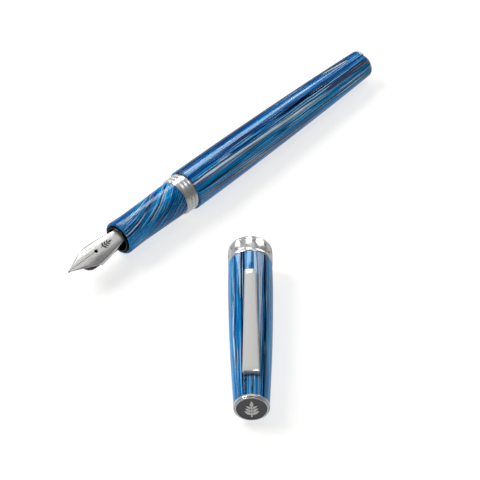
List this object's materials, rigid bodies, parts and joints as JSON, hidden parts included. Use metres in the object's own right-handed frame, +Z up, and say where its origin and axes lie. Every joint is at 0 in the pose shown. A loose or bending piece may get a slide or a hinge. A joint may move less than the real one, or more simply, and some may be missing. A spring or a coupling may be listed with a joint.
{
  "type": "fountain pen",
  "caption": "Resin fountain pen with polished trim and a steel nib, lying uncapped with its clip cap beside it; it fills by a twist converter.",
  "frame": {"origin": "bottom centre of the bounding box of pen and cap together, on the table", "axes": "+Z up; +Y runs from the cap's finial towards its mouth, away from the viewer; +X to the viewer's right"},
  "size_m": [0.0922, 0.1526, 0.0149],
  "materials": {
    "resin": "polished, streaked in blues",
    "chrome": "polished",
    "nib_steel": "satin with polished edges",
    "brass": "turned",
    "black_plastic": "satin",
    "clear_plastic": "clear",
    "rubber": "matt",
    "dark_enamel": "satin"
  },
  "bodies": {
    "grip": {"section_shell": "resin", "section_core": "brass", "section_ring": "chrome", "nib_housing": "black_plastic"},
    "nib_unit": {"nib": "nib_steel", "tipping_left": "nib_steel", "tipping_right": "nib_steel", "feed": "black_plastic"},
    "barrel": {"barrel_shell": "resin", "barrel_insert": "brass", "tail_cap": "chrome"},
    "converter": {"converter_tube": "clear_plastic", "converter_ferrule": "chrome", "converter_bush": "black_plastic"},
    "knob": {"converter_knob": "black_plastic"},
    "piston": {"piston_seal": "rubber", "piston_rod": "black_plastic"},
    "cap": {"cap_shell": "resin", "cap_band": "chrome", "cap_snap_ring": "nib_steel", "cap_liner": "black_plastic", "clip_ring": "brass", "finial_screw": "brass", "finial_bezel": "chrome", "finial_medallion": "dark_enamel"},
    "clip": {"clip": "chrome"}
  },
  "joints": [
    {"name": "nib_pull", "type": "slide", "parent": "grip", "child": "nib_unit", "axis": [-0.6774, -0.7354, 0.0168], "range_m": [0, 0.015]},
    {"name": "barrel_draw", "type": "slide", "parent": "grip", "child": "barrel", "axis": [0.6774, 0.7354, -0.0168], "range_m": [0, 0.075]},
    {"name": "converter_pull", "type": "slide", "parent": "grip", "child": "converter", "axis": [0.6774, 0.7354, -0.0168], "range_m": [0, 0.0065]},
    {"name": "knob_turn", "type": "hinge", "parent": "converter", "child": "knob", "pos_m": [0.0214, 0.04994, 0.0057], "axis": [0.6774, 0.7354, -0.0168], "range_deg": [0, 1801]},
    {"name": "piston_travel", "type": "slide", "parent": "converter", "child": "piston", "axis": [-0.6774, -0.7354, 0.0168], "range_m": [0, 0.02]},
    {"name": "cap_slide", "type": "slide", "parent": "grip", "child": "cap", "axis": [0.0049, -1, 0], "range_m": [0, 0.05]},
    {"name": "clip_flex", "type": "hinge", "parent": "cap", "child": "clip", "pos_m": [0.00801, -0.0674, 0.01148], "axis": [0.9998, 0.0044, 0.0209], "range_deg": [0, 4], "stiffness_Nm_per_rad": 0.05}
  ],
  "couplings": [
    {"joint": "knob_turn", "follows": "piston_travel", "rad_per_m": 1570.8}
  ]
}
